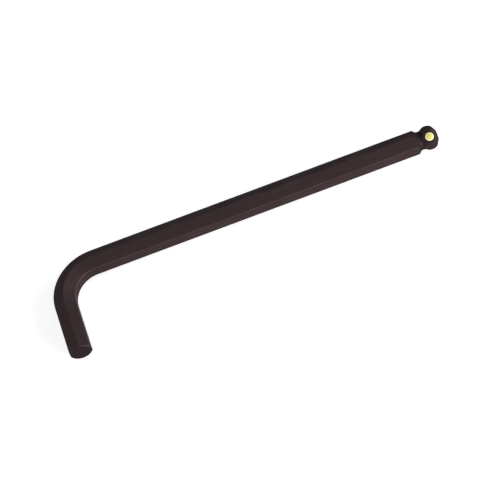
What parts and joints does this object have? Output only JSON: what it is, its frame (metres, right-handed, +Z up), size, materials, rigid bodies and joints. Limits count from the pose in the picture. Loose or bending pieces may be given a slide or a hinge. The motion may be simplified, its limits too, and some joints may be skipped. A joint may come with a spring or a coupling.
{
  "type": "ball-end hex key",
  "caption": "L-shaped hexagonal key with a plain chamfered short end, and a ball end on its long arm that holds a small retaining plug.",
  "frame": {"origin": "centre of the key's outline in plan, on the surface that it lies on", "axes": "+X along the long arm towards the ball, the short arm towards -Y, +Z up"},
  "size_m": [0.189, 0.0476, 0.0113],
  "materials": {
    "oxide_steel": "satin brown-black oxide",
    "yellow_plug": "smooth satin"
  },
  "bodies": {
    "root": {"hex_key": "oxide_steel", "retaining_plug": "yellow_plug"}
  },
  "joints": []
}
